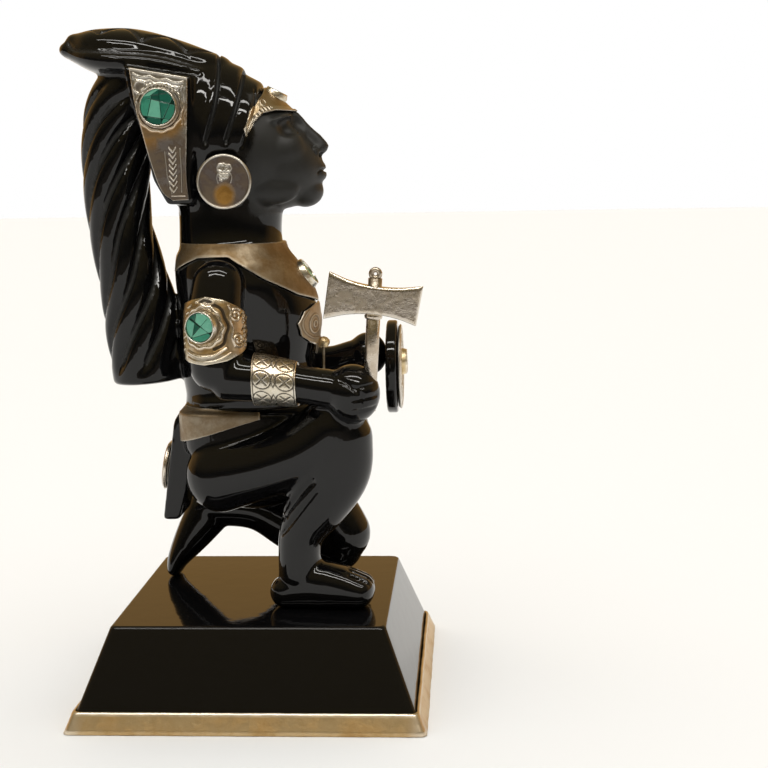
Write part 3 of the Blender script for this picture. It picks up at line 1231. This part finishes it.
axe = {
    "foot": (44.2, -32.4, 111), "axis": (3.4, -0.6, 50), "radius": 2.5, "length": 48, "middleX": 47.2,
    "at": -33, "thick": 3.9, "thin": 0.9, "reach": 18.5,
    "upper": [(31, 161.6), (38.5, 158.2), (47, 156.1), (56, 155.3), (64.6, 155.8)],
    "lower": [(28.4, 144.6), (37.5, 146.2), (47, 146.2), (55, 144.4), (61.8, 141.6)],
}


def addAxe():
    foot, axis = Vector(axe["foot"]), Vector(axe["axis"]).normalized()
    bm = bmesh.new()
    turned(bm, [(0, 0), (axe["radius"], 0), (axe["radius"], axe["length"]), (0, axe["length"])], foot, axis, 48)
    bead = [(1.5 + 0.95 * math.cos(math.radians(a)), 0.95 * math.sin(math.radians(a))) for a in range(0, 361, 20)]
    turned(bm, bead, foot + axis * (axe["length"] + 1.6), (0, -1, 0), 40)
    solder = [(2.5, 33.4), (3.1, 33.6), (3.3, 34.4), (3.0, 35.4), (2.5, 35.8)]
    turned(bm, solder, foot, axis, 40)
    newPiece("axeHandle", bm, axeSilver, ["axe_handle"])
    blade = bmesh.new()
    rub = blade.verts.layers.float.new("rub")
    columns, rows = 48, 16
    bmesh.ops.create_grid(blade, x_segments=columns, y_segments=rows, size=0.5)
    for vert in blade.verts:
        u, v = vert.co.x + 0.5, vert.co.y + 0.5
        a, b = through(axe["lower"], u), through(axe["upper"], u)
        x, z = a[0] + (b[0] - a[0]) * v, a[1] + (b[1] - a[1]) * v
        swell = max(0.0, 1 - abs(x - axe["middleX"]) / axe["reach"])
        half = axe["thin"] + (axe["thick"] - axe["thin"]) * swell - (0.35 if vert.is_boundary else 0)
        vert.co = (x, axe["at"] - half, z)
        vert[rub] = 0.95 if vert.is_boundary else 0.0
    copied = bmesh.ops.duplicate(blade, geom=blade.verts[:] + blade.edges[:] + blade.faces[:])["geom"]
    for vert in [item for item in copied if isinstance(item, bmesh.types.BMVert)]:
        vert.co.y = 2 * axe["at"] - vert.co.y
    bmesh.ops.bridge_loops(blade, edges=[edge for edge in blade.edges if edge.is_boundary])
    bmesh.ops.recalc_face_normals(blade, faces=blade.faces)
    piece = newPiece("axeBlade", blade, axeSilver, ["axe_blade"])
    addModifier(piece, "BEVEL", width=0.25 * mm, segments=3, limit_method="ANGLE", angle_limit=math.radians(35))


block = {"bottom": 63.6, "slope": 0.388, "height": 35.3, "corner": 2.4, "edge": 1.2}


def roundedLoop(bm, half, corner, z, steps=6, along=24):
    points = []
    flat = half - corner
    for k in range(4):
        sx, sy = ((1, 1), (-1, 1), (-1, -1), (1, -1))[k]
        for i in range(steps + 1):
            turn = math.radians(90 * k + 90 * i / steps)
            points.append((sx * flat + corner * math.cos(turn), sy * flat + corner * math.sin(turn)))
        nx, ny = ((-1, 1), (-1, -1), (1, -1), (1, 1))[k]
        last = points[-1]
        nextTurn = math.radians(90 * (k + 1))
        goal = (nx * flat + corner * math.cos(nextTurn), ny * flat + corner * math.sin(nextTurn))
        points += [(last[0] + (goal[0] - last[0]) * i / along, last[1] + (goal[1] - last[1]) * i / along)
                   for i in range(1, along)]
    verts = [bm.verts.new((x, y, z)) for x, y in points]
    return [bm.edges.new(pair) for pair in zip(verts, verts[1:] + verts[:1])]


def addPlinth():
    bm = bmesh.new()
    bottom, slope, height, edge = block["bottom"], block["slope"], block["height"], block["edge"]
    levels = [(bottom - 0.3, 0), (bottom, 0.4)]
    levels += [(bottom - slope * z, z) for z in (6, 14, 22, 29, height - edge)]
    top = bottom - slope * (height - edge)
    for i in range(1, 6):
        turn = math.radians(90 * i / 5)
        half = top - edge * (1 - math.cos(turn)) - slope * edge * math.sin(turn) * 0.6
        levels.append((half, height - edge + edge * math.sin(turn)))
    loops = [roundedLoop(bm, half, block["corner"], z) for half, z in levels]
    for low, high in zip(loops, loops[1:]):
        bmesh.ops.bridge_loops(bm, edges=low + high)
    for loop in (loops[0], loops[-1]):
        bmesh.ops.contextual_create(bm, geom=loop)
    bmesh.ops.recalc_face_normals(bm, faces=bm.faces)
    piece = newPiece("plinthBlock", bm, obsidian, ["plinth"])
    addModifier(piece, "WEIGHTED_NORMAL", weight=50, keep_sharp=False)


def addBand():
    bm = bmesh.new()
    profile = [(64.6, 0), (64.95, 0.3), (64.2, 2), (63.4, 4), (62.6, 6), (62.25, 6.9), (61.95, 7.35), (61.55, 7.5),
               (61.15, 7.35), (61.2, 6.8), (63.2, 1.6), (63.7, 0)]
    loops = [roundedLoop(bm, half, 2.4, z, along=60) for half, z in profile]
    for low, high in zip(loops, loops[1:] + loops[:1]):
        bmesh.ops.bridge_loops(bm, edges=low + high)
    bmesh.ops.recalc_face_normals(bm, faces=bm.faces)
    rub = bm.verts.layers.float.new("rub")
    gilt = bm.verts.layers.float.new("gilt")
    bloom = bm.verts.layers.float.new("bloom")
    for vert in bm.verts:
        x, y, z = vert.co
        corner = eased((min(abs(x), abs(y)) - 57) / 5)
        wave = 0.12 * math.sin(x * 0.31 + y * 0.17) + 0.08 * math.sin(x * 0.83 - y * 0.61 + 2)
        if max(abs(x), abs(y)) > 60:
            vert.co += Vector((x, y, 0)).normalized() * wave * (0.6 if z > 0.1 else 0)
        vert[rub] = max(0.85 * eased((z - 6.4) / 0.5), 0.6 * corner)
        vert[gilt] = 0.35
        vert[bloom] = 0.35 * eased((3 - z) / 3)
    newPiece("plinthBand", bm, plinthBrass, ["plinth_band"])


addPlinth()
addBand()
stage("plinth and band")
drawnPlate, drawnArm = plateStrokes(), armStrokes()
for side, hand in ((right, "right"), (left, "left")):
    addPlate(side, hand, drawnPlate)
    addEarDisc(side, hand)
    stage(f"headdress plate and ear disc, {hand}")
    addArmband(side, hand, drawnArm)
    addWristband(side, hand)
    addHipPlate(side, hand)
    stage(f"arm, wrist and hip, {hand}")
addCape()
addPendant()
addDiadem()
addApron()
addFlapDisc()
stage("cape, pendant, diadem, apron and flap")
addShield()
addAxe()
stage("shield and axe")
